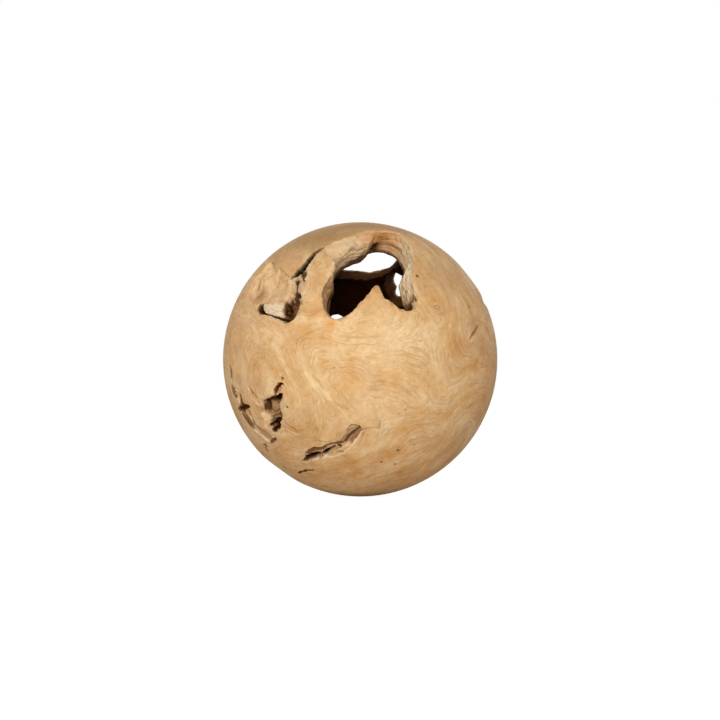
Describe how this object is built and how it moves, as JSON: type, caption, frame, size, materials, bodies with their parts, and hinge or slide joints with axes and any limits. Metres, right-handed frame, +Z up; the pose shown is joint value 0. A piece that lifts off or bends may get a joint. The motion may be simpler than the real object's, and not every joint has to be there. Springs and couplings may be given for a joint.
{
  "type": "wooden ball",
  "caption": "Hollow ball turned from one weathered root of wood, open to the front and back and worn into deep pits, a cleft and cracks. It lies on a table or shelf as an ornament.",
  "frame": {"origin": "centre of the ball", "axes": "+Z up, -Y towards the viewer who looks into the large opening, +X to that viewer's right"},
  "size_m": [0.3, 0.2998, 0.3],
  "materials": {
    "teak_root": "sanded, weathered where the wood was eroded"
  },
  "bodies": {
    "root": {"ball": "teak_root"}
  },
  "joints": []
}
